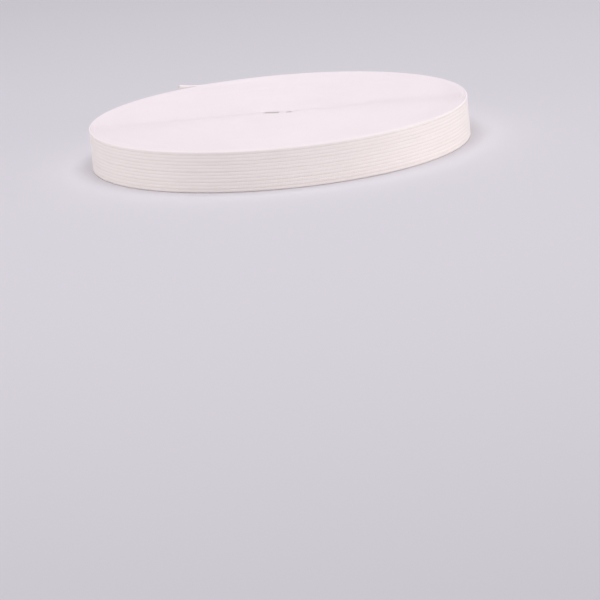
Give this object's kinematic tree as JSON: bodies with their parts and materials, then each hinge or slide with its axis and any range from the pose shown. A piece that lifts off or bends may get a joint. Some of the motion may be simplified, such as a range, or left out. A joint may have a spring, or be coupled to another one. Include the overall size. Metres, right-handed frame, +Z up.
{
  "type": "roll of flat elastic",
  "caption": "Roll of flat ribbed elastic wound on itself without a core, lying on one face, its cut outer end standing out a little.",
  "frame": {"origin": "middle of the roll's box, on the surface that the roll lies on", "axes": "+Z up, along the winding axis and across the elastic's width; -Y towards the viewer of the picture; the loose end is at the back left"},
  "size_m": [0.1856, 0.1874, 0.0214],
  "materials": {
    "elastic": "matte, finely ribbed knitted elastic, warm white"
  },
  "bodies": {
    "root": {"wound_roll": "elastic", "loose_end": "elastic"}
  },
  "joints": []
}
